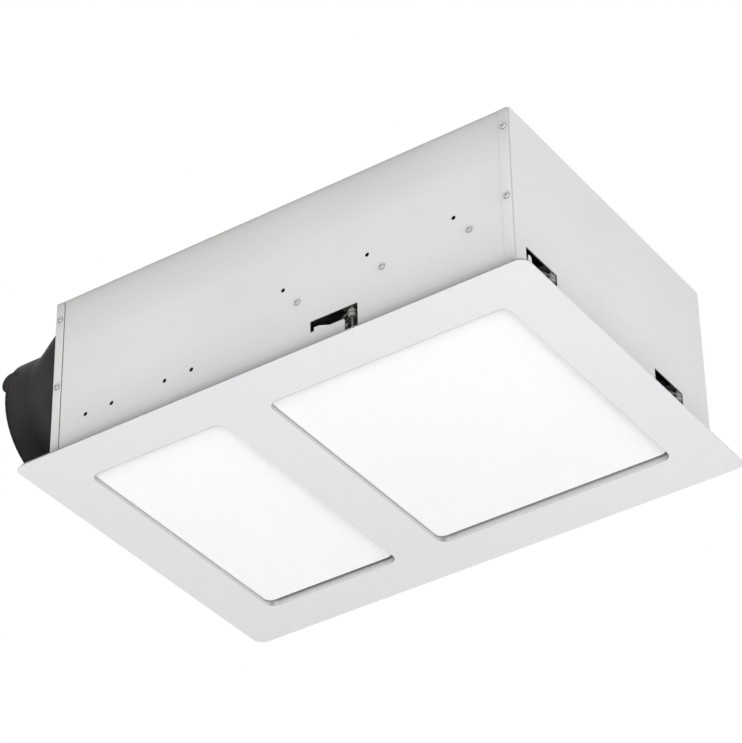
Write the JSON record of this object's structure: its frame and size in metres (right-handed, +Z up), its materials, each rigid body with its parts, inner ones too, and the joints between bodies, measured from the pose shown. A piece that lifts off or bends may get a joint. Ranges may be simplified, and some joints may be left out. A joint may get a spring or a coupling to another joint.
{
  "type": "bathroom heater fan",
  "caption": "Ceiling bathroom heater fan: sheet steel housing with side duct outlet, quartz tube heater, lamp panel and white fascia with air gaps.",
  "frame": {"origin": "middle of the four ceiling screw holes, on the top face of the housing's bottom flange, which is the ceiling's underside", "axes": "+Z up into the roof space, X along the fascia's long side with the duct towards -X, Y along its short side"},
  "size_m": [0.6555, 0.42, 0.209],
  "materials": {
    "housing_white": "satin",
    "galvanised": "satin",
    "bright_reflector": "polished",
    "zinc_steel": "satin",
    "black_plastic": "fine texture",
    "block_plastic": "satin",
    "rubber": "matte",
    "cast_case": "satin",
    "bronze": "satin",
    "ceramic": "matte",
    "quartz": "clear",
    "element": "dark",
    "fascia_white": "satin",
    "frosted_glass": "frosted white",
    "silicone": "matte",
    "opal": "opal",
    "led_yellow": "gloss"
  },
  "bodies": {
    "housing": {"front_wall": "housing_white", "back_wall": "housing_white", "right_end_plate": "housing_white", "left_end_plate": "housing_white", "top_plate": "housing_white", "bulkhead": "galvanised", "pan_screws": "zinc_steel", "duct_adapter": "black_plastic", "damper_pin": "zinc_steel", "wiring_box": "housing_white", "wiring_cover": "housing_white", "cable_gland": "black_plastic", "terminal_block": "block_plastic", "scroll_wrap": "galvanised", "scroll_base": "galvanised", "scroll_top": "galvanised", "scroll_feet": "rubber", "motor_case": "cast_case", "motor_stator": "zinc_steel", "motor_bearings": "bronze", "run_capacitor": "block_plastic", "led_driver": "block_plastic", "heat_shield": "galvanised", "heater_reflector": "bright_reflector", "tube_holders": "ceramic", "quartz_tubes": "quartz", "heating_coils": "element", "thermal_cutout": "black_plastic", "clamp_brackets": "galvanised", "spring_brackets": "galvanised"},
    "fan_rotor": {"motor_rotor": "zinc_steel", "motor_shaft": "zinc_steel", "impeller": "cast_case", "hub_nut": "zinc_steel"},
    "flap": {"damper_flap": "black_plastic"},
    "fascia_panel": {"fascia": "fascia_white", "fascia_pads": "rubber", "heater_glass": "frosted_glass", "glass_rails": "galvanised", "glass_gaskets": "silicone", "light_diffuser": "opal", "led_tray": "galvanised", "led_board": "opal", "led_chips": "led_yellow", "fascia_springs": "zinc_steel"},
    "screw_front": {"clamp_screw_front": "zinc_steel"},
    "nut_front": {"clamp_nut_front": "zinc_steel"},
    "arm_front": {"clamp_arm_front": "zinc_steel"},
    "screw_back": {"clamp_screw_back": "zinc_steel"},
    "nut_back": {"clamp_nut_back": "zinc_steel"},
    "arm_back": {"clamp_arm_back": "zinc_steel"},
    "screw_near": {"clamp_screw_near": "zinc_steel"},
    "nut_near": {"clamp_nut_near": "zinc_steel"},
    "arm_near": {"clamp_arm_near": "zinc_steel"},
    "screw_far": {"clamp_screw_far": "zinc_steel"},
    "nut_far": {"clamp_nut_far": "zinc_steel"},
    "arm_far": {"clamp_arm_far": "zinc_steel"},
    "screw_left": {"clamp_screw_left": "zinc_steel"},
    "nut_left": {"clamp_nut_left": "zinc_steel"},
    "arm_left": {"clamp_arm_left": "zinc_steel"}
  },
  "joints": [
    {"name": "fan_turn", "type": "hinge", "parent": "housing", "child": "fan_rotor", "pos_m": [-0.18, -0.032, 0.12], "axis": [0, 0, -1], "continuous": true},
    {"name": "flap_swing", "type": "hinge", "parent": "housing", "child": "flap", "pos_m": [-0.3435, -0.102, 0.1425], "axis": [0, 1, 0], "range_deg": [0, 80]},
    {"name": "fascia_drop", "type": "slide", "parent": "housing", "child": "fascia_panel", "axis": [0, 0, 1], "range_m": [-0.045, 0], "stiffness_N_per_m": 250, "springref_m": 0.2},
    {"name": "screw_turn_front", "type": "hinge", "parent": "housing", "child": "screw_front", "pos_m": [0.0912, -0.1815, 0.04], "axis": [0, 0, 1], "range_deg": [0, 12857.14]},
    {"name": "nut_travel_front", "type": "slide", "parent": "housing", "child": "nut_front", "axis": [0, 0, -1], "range_m": [0, 0.025]},
    {"name": "arm_swing_front", "type": "hinge", "parent": "nut_front", "child": "arm_front", "pos_m": [0.0912, -0.1815, 0.04], "axis": [0, 0, 1], "range_deg": [0, 114]},
    {"name": "screw_turn_back", "type": "hinge", "parent": "housing", "child": "screw_back", "pos_m": [-0.0912, 0.1815, 0.04], "axis": [0, 0, 1], "range_deg": [0, 12857.14]},
    {"name": "nut_travel_back", "type": "slide", "parent": "housing", "child": "nut_back", "axis": [0, 0, -1], "range_m": [0, 0.025]},
    {"name": "arm_swing_back", "type": "hinge", "parent": "nut_back", "child": "arm_back", "pos_m": [-0.0912, 0.1815, 0.04], "axis": [0, 0, 1], "range_deg": [0, 114]},
    {"name": "screw_turn_near", "type": "hinge", "parent": "housing", "child": "screw_near", "pos_m": [0.2735, -0.1181, 0.04], "axis": [0, 0, 1], "range_deg": [0, 12857.14]},
    {"name": "nut_travel_near", "type": "slide", "parent": "housing", "child": "nut_near", "axis": [0, 0, -1], "range_m": [0, 0.025]},
    {"name": "arm_swing_near", "type": "hinge", "parent": "nut_near", "child": "arm_near", "pos_m": [0.2735, -0.1181, 0.04], "axis": [0, 0, 1], "range_deg": [0, 114]},
    {"name": "screw_turn_far", "type": "hinge", "parent": "housing", "child": "screw_far", "pos_m": [0.2735, 0.121, 0.04], "axis": [0, 0, 1], "range_deg": [0, 12857.14]},
    {"name": "nut_travel_far", "type": "slide", "parent": "housing", "child": "nut_far", "axis": [0, 0, -1], "range_m": [0, 0.025]},
    {"name": "arm_swing_far", "type": "hinge", "parent": "nut_far", "child": "arm_far", "pos_m": [0.2735, 0.121, 0.04], "axis": [0, 0, 1], "range_deg": [0, 114]},
    {"name": "screw_turn_left", "type": "hinge", "parent": "housing", "child": "screw_left", "pos_m": [-0.2735, 0.118, 0.04], "axis": [0, 0, 1], "range_deg": [0, 12857.14]},
    {"name": "nut_travel_left", "type": "slide", "parent": "housing", "child": "nut_left", "axis": [0, 0, -1], "range_m": [0, 0.025]},
    {"name": "arm_swing_left", "type": "hinge", "parent": "nut_left", "child": "arm_left", "pos_m": [-0.2735, 0.118, 0.04], "axis": [0, 0, 1], "range_deg": [0, 114]}
  ],
  "couplings": [
    {"joint": "screw_turn_front", "follows": "nut_travel_front", "rad_per_m": 8976},
    {"joint": "screw_turn_back", "follows": "nut_travel_back", "rad_per_m": 8976},
    {"joint": "screw_turn_near", "follows": "nut_travel_near", "rad_per_m": 8976},
    {"joint": "screw_turn_far", "follows": "nut_travel_far", "rad_per_m": 8976},
    {"joint": "screw_turn_left", "follows": "nut_travel_left", "rad_per_m": 8976}
  ]
}
